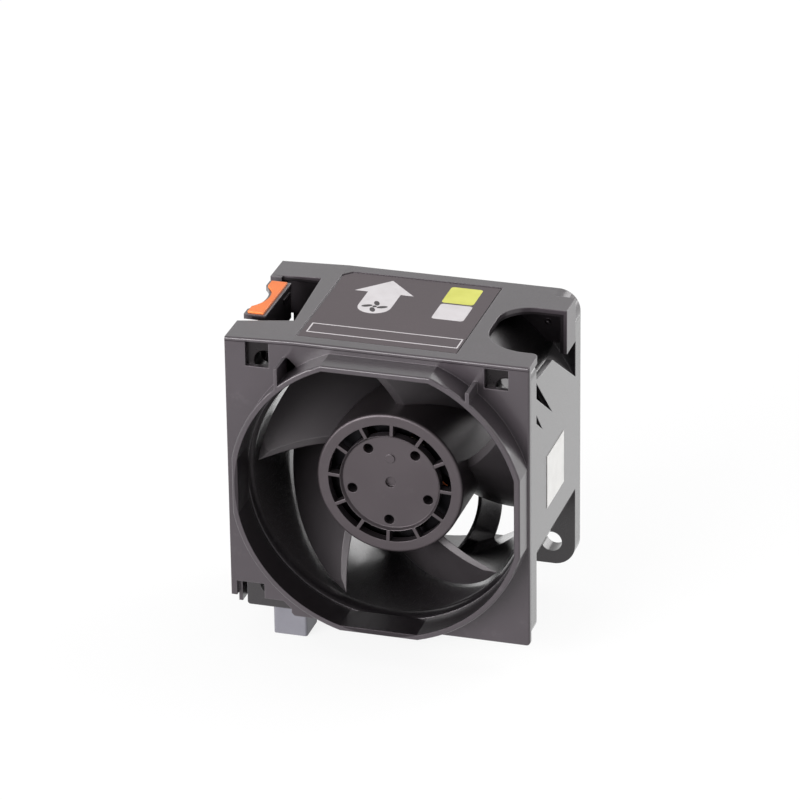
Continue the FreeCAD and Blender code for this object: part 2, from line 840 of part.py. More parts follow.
# One blade: thin bars at equal steps along the axis, each turned further round and more so at
# the root, joined into a twisted sheet and then trimmed to the swept front edge, the tip and the hub.
def blade():
    y0 = back(blade_tip_front_back)
    y1 = back(blade_rear_back)
    length = y1 - y0
    inner = hub_radius - blade_trim_margin
    outer = blade_tip_radius + blade_trim_margin

    def corner(share, run, y, sign):
        radius = inner + (outer - inner) * share
        wrap = math.radians(blade_root_wrap + (blade_tip_wrap - blade_root_wrap) * share)
        angle = math.radians(blade_phase) - wrap * ((1 + blade_camber) * run - blade_camber * run * run)
        slope = wrap * (1 + blade_camber - 2 * blade_camber * run) / length
        taper = math.sin(math.pi * (0.14 + 0.72 * run)) ** 0.6
        thickness = blade_root_thickness + (blade_tip_thickness - blade_root_thickness) * share
        half = sign * taper * thickness / 2 * math.hypot(1, slope * radius)
        return Vector(radius * math.cos(angle) - half * math.sin(angle), y,
                      radius * math.sin(angle) + half * math.cos(angle))

    wires = []
    for index in range(blade_section_count):
        step = index / (blade_section_count - 1)
        y = y0 - blade_trim_margin + step * (length + 2 * blade_trim_margin)
        run = (y - y0) / length
        sides = []
        for sign in (-1, 1):
            side = Part.BSplineCurve()
            side.interpolate([corner(share, run, y, sign) for share in (0.0, 0.5, 1.0)])
            sides.append(side)
        ends = [Part.LineSegment(sides[0].value(side_end), sides[1].value(side_end)).toShape()
                for side_end in (sides[0].LastParameter, sides[0].FirstParameter)]
        wires.append(Part.Wire(Part.__sortEdges__([sides[0].toShape(), ends[0], sides[1].toShape(), ends[1]])))
    sheet = Part.makeLoft(wires, True, False)
    trim = turned([(hub_radius, back(blade_root_front_back)), (blade_tip_radius, y0),
                   (blade_tip_radius, y1), (hub_radius, y1)])
    return sheet.common(trim)


def fan_blades():
    return Part.makeCompound(around(blade(), blade_count))


def hub():
    face = back(hub_face_back)
    disc = back(hub_disc_back)
    plate = back(hub_plate_back)
    rear = back(hub_rear_back)
    inner = hub_radius - hub_wall
    seat = back(cup_front_back)
    seat_radius = slot_inner_radius - hub_seat_gap
    body = turned([(0, disc), (disc_edge_radius, disc), (slot_inner_radius, face), (hub_radius, face),
                   (hub_radius, rear), (inner, rear), (inner, plate), (seat_radius, plate),
                   (seat_radius, seat), (0, seat)])
    outer_edge = [edge for edge in body.Edges
                  if abs(edge.CenterOfMass.y - face) < 1e-6 and edge.BoundBox.XMax > hub_radius - 0.01]
    return body.makeFillet(hub_edge_radius, outer_edge)


# Ring of vent slots, the round holes, the centre dimple and the moulding gate on the hub's face.
def hub_vents():
    y0 = back(hub_face_back) - 1
    y1 = back(cup_front_back) + 1
    vents = ring(slot_outer_radius, slot_inner_radius, y0, y1)
    spoke = box(slot_inner_radius - 1, slot_outer_radius + 1, y0, y1, -spoke_width / 2, spoke_width / 2)
    vents = vents.cut(Part.makeCompound(around(spoke, slot_count, spoke_phase)))
    hole = rod(hub_hole_radius, y0, y1, hub_hole_circle)
    dimple = rod(dimple_radius, y0, back(hub_disc_back) + dimple_depth)
    return [vents, dimple] + around(hole, hub_hole_count, hub_hole_phase)


def impeller():
    gate = rod(gate_radius, back(hub_disc_back) - gate_proud, back(hub_plate_back), 0.0, gate_height)
    body = joined([hub(), gate])
    for cut in hub_vents():
        body = body.cut(cut)
    return body


def rotor_cup():
    plate = back(cup_front_back)
    rear = back(cup_rear_back)
    inner = cup_radius - cup_wall
    cup = turned([(boss_radius, plate), (cup_radius, plate), (cup_radius, rear), (inner, rear),
                  (inner, plate + cup_wall), (boss_radius, plate + cup_wall)])
    window = rod(cup_window_radius, plate - 1, plate + cup_wall + 1, cup_window_circle)
    for cut in around(window, cup_window_count):
        cup = cup.cut(cut)
    return cup


def magnet_ring():
    return ring(magnet_radius, magnet_radius - magnet_wall, back(magnet_front_back),
                back(magnet_rear_back))


def shaft_boss():
    plate = back(cup_front_back)
    flange_y = plate + cup_wall
    return turned([(shaft_radius, plate), (boss_radius, plate), (boss_radius, flange_y),
                   (boss_flange_radius, flange_y), (boss_flange_radius, flange_y + boss_flange_thickness),
                   (boss_radius, flange_y + boss_flange_thickness), (boss_radius, back(boss_rear_back)),
                   (shaft_radius, back(boss_rear_back))])


def clip_front():
    return back(rear_bearing_back) + bearing_width + clip_clearance


def shaft():
    groove_y = clip_front()
    groove_end = groove_y + clip_thickness + clip_clearance
    rod_body = rod(shaft_radius, back(cup_front_back), back(shaft_rear_back))
    return rod_body.cut(ring(shaft_radius + 1, clip_groove_radius, groove_y, groove_end))


def retaining_clip():
    y0 = clip_front()
    clip = ring(clip_radius, clip_groove_radius, y0, y0 + clip_thickness)
    half = clip_gap_width / 2
    return clip.cut(box(0, clip_radius + 1, y0 - 1, y0 + 1, -half, half))


def preload_spring():
    middle = (back(boss_rear_back) + back(front_bearing_back)) / 2
    half = spring_thickness / 2
    return ring(spring_outer_radius, shaft_radius, middle - half, middle + half)


def bearing_outer(start_back):
    y0 = back(start_back)
    return ring(bearing_radius, bearing_radius - bearing_outer_wall, y0, y0 + bearing_width)


def bearing_inner(start_back):
    y0 = back(start_back)
    return ring(shaft_radius + bearing_inner_wall, shaft_radius, y0, y0 + bearing_width)


def bearing_balls():
    race_out = bearing_radius - bearing_outer_wall
    race_in = shaft_radius + bearing_inner_wall
    radius = (race_out - race_in) / 2 - ball_clearance
    balls = []
    for start in (front_bearing_back, rear_bearing_back):
        y = back(start) + bearing_width / 2
        ball = Part.makeSphere(radius, Vector((race_out + race_in) / 2, y, 0))
        balls += around(ball, ball_count)
    return Part.makeCompound(balls)


def bearing_shields():
    outer = bearing_radius - bearing_outer_wall
    inner = shaft_radius + bearing_inner_wall + shield_clearance
    shields = []
    for start in (front_bearing_back, rear_bearing_back):
        y0 = back(start)
        y1 = y0 + bearing_width
        shields.append(ring(outer, inner, y0, y0 + shield_thickness))
        shields.append(ring(outer, inner, y1 - shield_thickness, y1))
    return Part.makeCompound(shields)


def bearing_tube():
    return ring(tube_radius, bearing_radius, back(tube_front_back), -tube_seat_floor)


def stator_core():
    y0 = back(core_front_back)
    y1 = back(core_rear_back)
    ring_radius = tube_radius + core_ring_wall
    shoe_radius = core_radius - shoe_thickness
    tooth = box(ring_radius - 1, core_radius - 0.5, y0, y1, -tooth_width / 2, tooth_width / 2)
    shoes = ring(core_radius, shoe_radius, y0, y1)
    gap = box(shoe_radius - 1, core_radius + 1, y0 - 1, y1 + 1, -shoe_gap / 2, shoe_gap / 2)
    shoes = shoes.cut(Part.makeCompound(around(gap, tooth_count, tooth_phase + 180.0 / tooth_count)))
    yoke = ring(ring_radius, tube_radius, y0, y1)
    return joined([yoke, shoes] + around(tooth, tooth_count, tooth_phase))


# End insulator: a ring with an arm and a raised lip over each tooth. The side is -1 in front, 1 behind.
def end_insulator(face, side):
    y0, y1 = sorted((face, face + side * insulator_thickness))
    lip_y0, lip_y1 = sorted((face, face + side * (insulator_thickness + insulator_lip_height)))
    ring_radius = tube_radius + core_ring_wall
    half = tooth_width / 2
    arm = box(ring_radius - 1, core_radius - shoe_thickness / 2, y0, y1, -half, half)
    lip = box(coil_outer_radius + bracket_clearance, core_radius - shoe_thickness / 2,
              lip_y0, lip_y1, -half, half)
    base = ring(ring_radius, tube_radius, y0, y1)
    return joined([base] + around(arm, tooth_count, tooth_phase) + around(lip, tooth_count, tooth_phase))


def front_insulator():
    return end_insulator(back(core_front_back), -1)


def rear_insulator():
    return end_insulator(back(core_rear_back), 1)


def windings():
    y0 = back(core_front_back) - insulator_thickness
    y1 = back(core_rear_back) + insulator_thickness
    half = tooth_width / 2
    outer = box(coil_inner_radius, coil_outer_radius, y0 - coil_thickness, y1 + coil_thickness,
                -half - coil_thickness, half + coil_thickness)
    outer = rounded(outer, coil_corner_radius, along_x, lambda p: True)
    coil = outer.cut(box(coil_inner_radius, coil_outer_radius, y0, y1, -half, half))
    return Part.makeCompound(around(coil, tooth_count, tooth_phase))


def circuit_board():
    y0 = back(board_front_back)
    board = ring(board_radius, tube_radius + board_hole_gap, y0, y0 + board_thickness)
    for hole in around(rod(pin_radius, y0 - 1, y0 + board_thickness + 1, pin_circle), pin_count):
        board = board.cut(hole)
    return board


def terminal_pins():
    y0 = back(core_rear_back) + insulator_thickness
    y1 = back(board_front_back) + board_thickness + pin_stub
    return Part.makeCompound(around(rod(pin_radius, y0, y1, pin_circle), pin_count))


def driver_chips():
    y0 = back(board_front_back) + board_thickness
    half = chip_size / 2
    chip = box(chip_circle - half, chip_circle + half, y0, y0 + chip_height, -half, half)
    return Part.makeCompound([spun(chip, angle) for angle in chip_angles])


def board_capacitors():
    y0 = back(board_front_back) + board_thickness
    can = rod(capacitor_radius, y0, y0 + capacitor_height, capacitor_circle)
    return Part.makeCompound([spun(can, angle) for angle in capacitor_angles])


def hall_sensor():
    y1 = back(board_front_back)
    half = sensor_width / 2
    body = box(sensor_circle - sensor_depth / 2, sensor_circle + sensor_depth / 2,
               y1 - sensor_height, y1, -half, half)
    return spun(body, sensor_angle)


pieces = {
    "carrier": carrier(),
    "top_label": top_label(),
    "side_label": side_label(),
    "connector_bracket": connector_bracket(),
    "connector_housing": connector_housing(),
    "connector_contacts": connector_contacts(),
    "latch_arm": latch_arm(),
    "latch_pad": latch_pad(),
    "fan_housing": fan_housing(),
    "motor_base": motor_base(),
    "outlet_vanes": outlet_vanes(),
    "bearing_tube": bearing_tube(),
    "front_bearing_outer_ring": bearing_outer(front_bearing_back),
    "rear_bearing_outer_ring": bearing_outer(rear_bearing_back),
    "bearing_balls": bearing_balls(),
    "bearing_shields": bearing_shields(),
    "stator_core": stator_core(),
    "front_insulator": front_insulator(),
    "rear_insulator": rear_insulator(),
    "windings": windings(),
    "circuit_board": circuit_board(),
    "terminal_pins": terminal_pins(),
    "driver_chips": driver_chips(),
    "board_capacitors": board_capacitors(),
    "hall_sensor": hall_sensor(),
    "impeller": impeller(),
    "fan_blades": fan_blades(),
    "rotor_cup": rotor_cup(),
    "magnet_ring": magnet_ring(),
    "shaft_boss": shaft_boss(),
    "shaft": shaft(),
    "retaining_clip": retaining_clip(),
    "preload_spring": preload_spring(),
    "front_bearing_inner_ring": bearing_inner(front_bearing_back),
    "rear_bearing_inner_ring": bearing_inner(rear_bearing_back),
}

os.makedirs("parts", exist_ok=True)
for name, shape in pieces.items():
    print(name, len(shape.Solids), "solids, volume", round(shape.Volume, 1), "valid", shape.isValid())
    shape.exportStep("parts/" + name + ".step")
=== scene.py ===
import bpy
import bmesh
import math
from mathutils import Matrix, Vector


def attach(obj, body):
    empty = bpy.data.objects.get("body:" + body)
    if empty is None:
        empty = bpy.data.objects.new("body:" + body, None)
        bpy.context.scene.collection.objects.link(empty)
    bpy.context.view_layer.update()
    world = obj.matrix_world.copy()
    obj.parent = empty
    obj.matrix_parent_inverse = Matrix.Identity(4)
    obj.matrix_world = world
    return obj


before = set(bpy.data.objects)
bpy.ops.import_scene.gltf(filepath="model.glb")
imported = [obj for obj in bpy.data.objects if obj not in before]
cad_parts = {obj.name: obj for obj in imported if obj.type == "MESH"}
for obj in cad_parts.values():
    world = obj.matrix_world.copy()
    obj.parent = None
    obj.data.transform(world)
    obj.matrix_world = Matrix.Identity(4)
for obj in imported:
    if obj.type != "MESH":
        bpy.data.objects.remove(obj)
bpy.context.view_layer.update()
print("frame loaded:", len(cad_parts), "nodes")

mm = 0.001
plateFront = -39.2  # front face of the plate, from which distances called back are counted
labelTop = 30.4
printGap = 0.001  # between the label and a print, and between two prints
printThickness = 0.012


def back(distance):
    return plateFront + distance


class Link:
    # a shader socket that can be added, scaled and compared in plain expressions
    def __init__(self, nodes, socket):
        self.nodes = nodes
        self.socket = socket

    def output(self, name):
        return Link(self.nodes, self.socket.node.outputs[name])

    def __add__(self, other):
        return self.nodes.calculate("ADD", self, other)

    def __radd__(self, other):
        return self.nodes.calculate("ADD", other, self)

    def __sub__(self, other):
        return self.nodes.calculate("SUBTRACT", self, other)

    def __rsub__(self, other):
        return self.nodes.calculate("SUBTRACT", other, self)

    def __mul__(self, other):
        return self.nodes.calculate("MULTIPLY", self, other)

    def __rmul__(self, other):
        return self.nodes.calculate("MULTIPLY", other, self)

    def __gt__(self, other):
        return self.nodes.calculate("GREATER_THAN", self, other)

    def __lt__(self, other):
        return self.nodes.calculate("LESS_THAN", self, other)


class Nodes:
    # the nodes of one tree
    def __init__(self, tree):
        self.tree = tree

    def add(self, kind, settings, values=(), output=0):
        node = self.tree.nodes.new(kind)
        for key, value in settings.items():
            setattr(node, key, value)
        pairs = values.items() if isinstance(values, dict) else enumerate(values)
        for key, value in pairs:
            if isinstance(value, Link):
                self.tree.links.new(value.socket, node.inputs[key])
            else:
                node.inputs[key].default_value = value
        return Link(self, node.outputs[output]) if node.outputs else None

    def calculate(self, operation, *values):
        return self.add("ShaderNodeMath", {"operation": operation}, values)

    def seenOrMirrored(self):
        # 1 where the camera, a mirroring surface or glass looks, 0 for plain light
        path = self.add("ShaderNodeLightPath", {}, (), "Is Camera Ray")
        total = self.calculate("MAXIMUM", path, path.output("Is Glossy Ray"))
        return self.calculate("MAXIMUM", total, path.output("Is Transmission Ray"))


class Finish(Nodes):
    # one material, built node by node
    def __init__(self, name):
        self.material = bpy.data.materials.new(name)
        self.material.use_nodes = True
        super().__init__(self.material.node_tree)
        self.shader = self.tree.nodes["Principled BSDF"]
        self.place = self.add("ShaderNodeTexCoord", {}, (), "Object")

    def feed(self, name, value):
        if isinstance(value, Link):
            self.tree.links.new(value.socket, self.shader.inputs[name])
        else:
            self.shader.inputs[name].default_value = value

    def axes(self):
        x = self.add("ShaderNodeSeparateXYZ", {}, (self.place,), "X")
        return x, x.output("Y"), x.output("Z")

    def between(self, value, low, high):
        # 1 where value lies between low and high, which are in millimetres
        return (value > low * mm) * (value < high * mm)

    def noise(self, scale, detail, roughness=0.5, place=None):
        values = {"Vector": place or self.place, "Scale": scale, "Detail": detail, "Roughness": roughness}
        return self.add("ShaderNodeTexNoise", {}, values, "Fac")

    def spread(self, value, low, high, start=0.0, end=1.0):
        # value from low to high becomes start to end, held at both ends
        return self.add("ShaderNodeMapRange", {"clamp": True}, (value, low, high, start, end))

    def blend(self, factor, first, second):
        return self.add("ShaderNodeMix", {"data_type": "RGBA"}, {0: factor, 6: first, 7: second}, 2)

    def roundedEdge(self, radius, samples):
        # the normal of an edge rounded by this radius, and how far it turns off the flat face
        smooth = self.add("ShaderNodeBevel", {"samples": samples}, {"Radius": radius}, "Normal")
        flat = self.add("ShaderNodeNewGeometry", {}, (), "Normal")
        same = self.add("ShaderNodeVectorMath", {"operation": "DOT_PRODUCT"}, (smooth, flat), "Value")
        return smooth, 1 - same

    def bumps(self, height, distance, normal=None):
        values = {"Height": height, "Distance": distance}
        if normal:
            values["Normal"] = normal
        return self.add("ShaderNodeBump", {}, values, "Normal")


def tone(red, green, blue):
    # a colour given 0 to 255, as the renderer's own numbers
    def curve(value):
        value = value / 255
        return value / 12.92 if value <= 0.04045 else ((value + 0.055) / 1.055) ** 2.4
    return (curve(red), curve(green), curve(blue), 1.0)


plasticRule = {
    "cloudDetail": 3.0, "grainDetail": 2.0, "grainRoughness": 0.6, "scuffDetail": 6.0, "scuffRoughness": 0.7,
    "noiseLow": 0.3, "noiseHigh": 0.7, "scuffFrom": 0.58, "scuffTo": 0.75,
    "edgeSamples": 6, "wearAndSheenFrom": 0.03, "wearAndSheenTo": 0.25,
    "scuffDulls": 0.1, "rubSmooths": 0.35, "cloudHeight": 0.4,
}


def mouldedPlastic(name, look, shading=None):
    # grained plastic: slow cloudiness, fine grain, dull pale scuffs, and edges rubbed a little smoother and
    # painted paler, which is partly wear and partly a painted highlight
    rule = plasticRule
    finish = Finish(name)
    cloud = finish.noise(look["cloudScale"], rule["cloudDetail"])
    grain = finish.noise(look["grainScale"], rule["grainDetail"], rule["grainRoughness"])
    worn = finish.noise(look["scuffScale"], rule["scuffDetail"], rule["scuffRoughness"])
    scuff = finish.spread(worn, rule["scuffFrom"], rule["scuffTo"], 0.0, look["scuffAmount"])
    smooth, turn = finish.roundedEdge(look["edgeRadius"], rule["edgeSamples"])
    edgeWearAndHighlight = finish.spread(turn, rule["wearAndSheenFrom"], rule["wearAndSheenTo"], 0.0, look["edgeWearAndSheen"])
    tint = finish.spread(cloud, rule["noiseLow"], rule["noiseHigh"])
    body = finish.blend(tint, look["dark"], look["light"])
    body = finish.blend(scuff, body, look["scuff"])
    # edges painted paler towards the scuff colour: partly wear, partly a painted highlight
    body = finish.blend(edgeWearAndHighlight, body, look["scuff"])
    shade = 0.0
    if shading:
        shade = shading(finish)
        body = finish.blend(shade, body, look["shadeColor"])
    finish.feed("Base Color", body)
    rough = finish.spread(grain, rule["noiseLow"], rule["noiseHigh"], look["roughLow"], look["roughHigh"])
    finish.feed("Roughness", rough + scuff * rule["scuffDulls"] - edgeWearAndHighlight * rule["rubSmooths"])
    finish.feed("Normal", finish.bumps(grain + cloud * rule["cloudHeight"], look["grainDepth"], smooth))
    finish.feed("Specular IOR Level", look["gloss"])
    if "tint" in look:
        finish.feed("Specular Tint", look["tint"])
    if "coat" in look:
        finish.feed("Coat Weight", (1 - shade) * look["coat"])
        finish.feed("Coat Roughness", look["coatRough"])
    return finish.material


metalRule = {
    "cloudDetail": 4.0, "cloudLow": 0.35, "cloudHigh": 0.65,
    "lineDetail": 3.0, "lineLow": 0.3, "lineHigh": 0.7,
}


def wornMetal(name, look):
    # bare metal: cloudy tint, fine scratches across the grain
    rule = metalRule
    finish = Finish(name)
    cloud = finish.noise(look["cloudScale"], rule["cloudDetail"])
    stretch = {"Vector": finish.place, "Scale": look["grainStretch"]}
    stretched = finish.add("ShaderNodeMapping", {}, stretch)
    lines = finish.noise(look["grainScale"], rule["lineDetail"], place=stretched)
    tint = finish.spread(cloud, rule["cloudLow"], rule["cloudHigh"])
    rough = finish.spread(lines, rule["lineLow"], rule["lineHigh"], look["roughLow"], look["roughHigh"])
    finish.feed("Base Color", finish.blend(tint, look["dark"], look["light"]))
    finish.feed("Metallic", 1.0)
    finish.feed("Roughness", rough)
    finish.feed("Normal", finish.bumps(lines, look["grainDepth"]))
    return finish.material


carrierLook = {
    "dark": tone(44, 40, 43), "light": tone(51, 46, 50), "scuff": tone(110, 105, 109),
    "shadeColor": tone(4, 3, 4),
    "cloudScale": 60.0, "grainScale": 5200.0, "scuffScale": 260.0, "scuffAmount": 0.1,
    "edgeRadius": 0.3 * mm, "edgeWearAndSheen": 0.6,
    "roughLow": 0.34, "roughHigh": 0.46, "grainDepth": 0.00002,
    "gloss": 0.3, "tint": (1.0, 0.86, 0.95, 1.0), "coat": 0.75, "coatRough": 0.2,
    "seamHeight": 29.6, "seamWidth": 0.17, "seamDepth": 0.2,
    "slopeStart": -19.0, "slopeEnd": -33.0, "slopeDrop": 0.6,
    "wallRadius": 29.7, "wallTop": 27.6, "wallRight": 28.5, "wallShade": 0.8,
    "underLeft": -31.0, "underRight": 29.3, "underLow": 18.0, "underHigh": 29.6,
    "underStart": 2.5, "underShade": 0.9,
}
housingLook = {
    "dark": tone(16, 14, 16), "light": tone(22, 20, 22), "scuff": tone(90, 88, 92),
    "shadeColor": tone(3, 3, 3),
    "cloudScale": 80.0, "grainScale": 4200.0, "scuffScale": 300.0, "scuffAmount": 0.1,
    "edgeRadius": 0.35 * mm, "edgeWearAndSheen": 0.6,
    "roughLow": 0.26, "roughHigh": 0.38, "grainDepth": 0.00002,
    "gloss": 0.3, "tint": (1.0, 0.9, 0.95, 1.0), "coat": 1.0, "coatRough": 0.18,
    "cornerDepth": 4.0, "cornerStart": 18.0,
    "underSide": 29.3, "underLow": 20.0, "underRear": -4.5, "underShade": 0.8,
}
impellerLook = {
    "dark": tone(34, 30, 32), "light": tone(41, 37, 39), "scuff": tone(90, 86, 88),
    "cloudScale": 90.0, "grainScale": 6000.0, "scuffScale": 350.0, "scuffAmount": 0.08,
    "edgeRadius": 0.2 * mm, "edgeWearAndSheen": 0.3,
    "roughLow": 0.34, "roughHigh": 0.46, "grainDepth": 0.00002,
    "gloss": 0.62, "tint": (1.0, 0.88, 0.94, 1.0),
}
# the blades are the impeller's own plastic, painted a little lighter than its hub as painted light
bladePaintedLightLook = {
    "dark": tone(38, 35, 37), "light": tone(45, 42, 44), "scuff": tone(86, 80, 84),
    "cloudScale": 90.0, "grainScale": 6000.0, "scuffScale": 350.0, "scuffAmount": 0.08,
    "edgeRadius": 0.2 * mm, "edgeWearAndSheen": 0.25,
    "roughLow": 0.36, "roughHigh": 0.48, "grainDepth": 0.00002,
    "gloss": 0.55, "tint": (1.0, 0.94, 0.97, 1.0),
}
connectorLook = {
    "dark": tone(98, 97, 104), "light": tone(108, 107, 114), "scuff": tone(150, 150, 154),
    "cloudScale": 150.0, "grainScale": 6000.0, "scuffScale": 500.0, "scuffAmount": 0.2,
    "edgeRadius": 0.2 * mm, "edgeWearAndSheen": 0.3,
    "roughLow": 0.42, "roughHigh": 0.56, "grainDepth": 0.00002, "gloss": 0.5,
}
padLook = {
    "dark": tone(226, 112, 44), "light": tone(234, 124, 54), "scuff": tone(250, 178, 130),
    "cloudScale": 120.0, "grainScale": 5000.0, "scuffScale": 600.0, "scuffAmount": 0.15,
    "edgeRadius": 0.2 * mm, "edgeWearAndSheen": 0.3,
    "roughLow": 0.4, "roughHigh": 0.52, "grainDepth": 0.00002, "gloss": 0.5,
}
labelLook = {
    "dark": tone(46, 38, 41), "light": tone(52, 43, 46), "scuff": tone(92, 86, 88),
    "cloudScale": 50.0, "grainScale": 7000.0, "scuffScale": 400.0, "scuffAmount": 0.08,
    "edgeRadius": 0.08 * mm, "edgeWearAndSheen": 0.3,
    "roughLow": 0.4, "roughHigh": 0.5, "grainDepth": 0.00001,
    "gloss": 0.7, "tint": (1.0, 0.86, 0.92, 1.0),
}
inkLook = {
    "cloudScale": 260.0, "grainScale": 9000.0, "scuffScale": 900.0, "scuffAmount": 0.25,
    "edgeRadius": 0.01 * mm, "edgeWearAndSheen": 0.0,
    "roughLow": 0.45, "roughHigh": 0.6, "grainDepth": 0.000004, "gloss": 0.5,
}
paleInkLook = {
    **inkLook, "dark": tone(198, 193, 195), "light": tone(208, 204, 206), "scuff": tone(150, 144, 146),
}
yellowInkLook = {
    **inkLook, "dark": tone(198, 198, 88), "light": tone(208, 208, 100), "scuff": tone(190, 186, 80),
}
darkInkLook = {
    **inkLook, "dark": tone(44, 39, 41), "light": tone(52, 46, 48), "scuff": tone(80, 74, 76),
    "scuffAmount": 0.2,
}
paperLook = {
    "dark": tone(206, 205, 203), "light": tone(216, 215, 213), "scuff": tone(190, 186, 178),
    "cloudScale": 200.0, "grainScale": 8000.0, "scuffScale": 700.0, "scuffAmount": 0.3,
    "edgeRadius": 0.05 * mm, "edgeWearAndSheen": 0.1,
    "roughLow": 0.5, "roughHigh": 0.65, "grainDepth": 0.00001, "gloss": 0.4,
}
nylonLook = {
    "dark": tone(214, 208, 190), "light": tone(226, 221, 205), "scuff": tone(180, 172, 150),
    "cloudScale": 200.0, "grainScale": 5000.0, "scuffScale": 500.0, "scuffAmount": 0.2,
    "edgeRadius": 0.1 * mm, "edgeWearAndSheen": 0.1,
    "roughLow": 0.45, "roughHigh": 0.6, "grainDepth": 0.00002, "gloss": 0.5,
}
boardLook = {
    "dark": tone(22, 84, 50), "light": tone(34, 104, 62), "scuff": tone(120, 140, 100),
    "cloudScale": 700.0, "grainScale": 3000.0, "scuffScale": 900.0, "scuffAmount": 0.2,
    "edgeRadius": 0.05 * mm, "edgeWearAndSheen": 0.2,
    "roughLow": 0.25, "roughHigh": 0.4, "grainDepth": 0.00001, "gloss": 0.5,
}
chipLook = {
    "dark": tone(34, 34, 36), "light": tone(44, 44, 46), "scuff": tone(90, 90, 92),
    "cloudScale": 500.0, "grainScale": 6000.0, "scuffScale": 900.0, "scuffAmount": 0.2,
    "edgeRadius": 0.1 * mm, "edgeWearAndSheen": 0.2,
    "roughLow": 0.4, "roughHigh": 0.55, "grainDepth": 0.00002, "gloss": 0.5,
}
magnetLook = {
    "dark": tone(50, 49, 48), "light": tone(66, 64, 62), "scuff": tone(96, 92, 88),
    "cloudScale": 300.0, "grainScale": 4000.0, "scuffScale": 700.0, "scuffAmount": 0.3,
    "edgeRadius": 0.1 * mm, "edgeWearAndSheen": 0.2,
    "roughLow": 0.6, "roughHigh": 0.8, "grainDepth": 0.00003, "gloss": 0.4,
}
steelLook = {
    "dark": tone(178, 178, 182), "light": tone(200, 200, 204), "cloudScale": 200.0,
    "grainStretch": (1.0, 12.0, 1.0), "grainScale": 1500.0,
    "roughLow": 0.14, "roughHigh": 0.3, "grainDepth": 0.000005,
}
# rotor cup and preload spring: steel painted near black, as painted shade behind the hub's slots
cupShadeLook = {
    "dark": tone(18, 17, 19), "light": tone(28, 27, 29), "cloudScale": 160.0,
    "grainStretch": (1.0, 12.0, 1.0), "grainScale": 900.0,
    "roughLow": 0.3, "roughHigh": 0.45, "grainDepth": 0.00001,
}
coreLook = {
    "dark": tone(120, 120, 126), "light": tone(146, 146, 152), "cloudScale": 160.0,
    "grainStretch": (0.1, 30.0, 0.1), "grainScale": 90.0,
    "roughLow": 0.35, "roughHigh": 0.55, "grainDepth": 0.00006,
}
brassLook = {
    "dark": tone(190, 150, 84), "light": tone(212, 176, 106), "cloudScale": 200.0,
    "grainStretch": (1.0, 10.0, 1.0), "grainScale": 1200.0,
    "roughLow": 0.22, "roughHigh": 0.38, "grainDepth": 0.000006,
}
copperLook = {
    "dark": tone(112, 54, 30), "light": tone(140, 74, 42), "cloudScale": 300.0,
    "grainStretch": (1.0, 1.0, 6.0), "grainScale": 500.0,
    "roughLow": 0.25, "roughHigh": 0.4, "grainDepth": 0.00008,
}
canLook = {
    "dark": tone(190, 190, 192), "light": tone(206, 206, 208), "cloudScale": 300.0,
    "grainStretch": (1.0, 10.0, 1.0), "grainScale": 1200.0,
    "roughLow": 0.2, "roughHigh": 0.34, "grainDepth": 0.000005,
}


def carrierShade(finish):
    # the fine dark line under the plate's top edge, which drops to the left with the cover, and painted
    # shade on the collar's inner wall, darker and duller than the plate, and on what lies deep under the
    # cover
    look = carrierLook
    x, y, z = finish.axes()
    drop = finish.spread(x, look["slopeEnd"] * mm, look["slopeStart"] * mm, look["slopeDrop"] * mm, 0.0)
    seam = finish.between(z + drop, look["seamHeight"], look["seamHeight"] + look["seamWidth"])
    seam = seam * (y < back(look["seamDepth"]) * mm)
    # painted shade on the collar's inner wall
    wall = (x * x + z * z < (look["wallRadius"] * mm) ** 2) * (z < look["wallTop"] * mm)
    wall = wall * (x < look["wallRight"] * mm) * look["wallShade"]
    under = finish.between(x, look["underLeft"], look["underRight"])
    under = under * finish.between(z, look["underLow"], look["underHigh"])
    under = under * (y > back(look["underStart"]) * mm) * look["underShade"]
    return finish.calculate("MAXIMUM", finish.calculate("MAXIMUM", seam, wall), under)


def housingShade(finish):
    # the flange's upper corners, seen through the plate's windows, and what lies deep under the cover
    look = housingLook
    x, y, z = finish.axes()
    inner = finish.between(x, -look["underSide"], look["underSide"])
    under = inner * (y < look["underRear"] * mm) * (z > look["underLow"] * mm) * look["underShade"]
    corner = inner * (x * x > (look["cornerStart"] * mm) ** 2) * (z > look["cornerStart"] * mm)
    corner = corner * (y < back(look["cornerDepth"]) * mm)
    return finish.calculate("MAXIMUM", under, corner)


carrierPlastic = mouldedPlastic("carrierPlastic", carrierLook, carrierShade)
housingPlastic = mouldedPlastic("housingPlastic", housingLook, housingShade)
impellerPlastic = mouldedPlastic("impellerPlastic", impellerLook)
bladePaintedLightPlastic = mouldedPlastic("bladePaintedLightPlastic", bladePaintedLightLook)
connectorPlastic = mouldedPlastic("connectorPlastic", connectorLook)
padPlastic = mouldedPlastic("padPlastic", padLook)
labelFilm = mouldedPlastic("labelFilm", labelLook)
paleInk = mouldedPlastic("paleInk", paleInkLook)
yellowInk = mouldedPlastic("yellowInk", yellowInkLook)
darkInk = mouldedPlastic("darkInk", darkInkLook)
whitePaper = mouldedPlastic("whitePaper", paperLook)
paleNylon = mouldedPlastic("paleNylon", nylonLook)
greenBoard = mouldedPlastic("greenBoard", boardLook)
chipPlastic = mouldedPlastic("chipPlastic", chipLook)
magnetFerrite = mouldedPlastic("magnetFerrite", magnetLook)
bearingSteel = wornMetal("bearingSteel", steelLook)
cupSteelPaintedShade = wornMetal("cupSteelPaintedShade", cupShadeLook)
coreSheet = wornMetal("coreSheet", coreLook)
turnedBrass = wornMetal("turnedBrass", brassLook)
coilCopper = wornMetal("coilCopper", copperLook)
canMetal = wornMetal("canMetal", canLook)

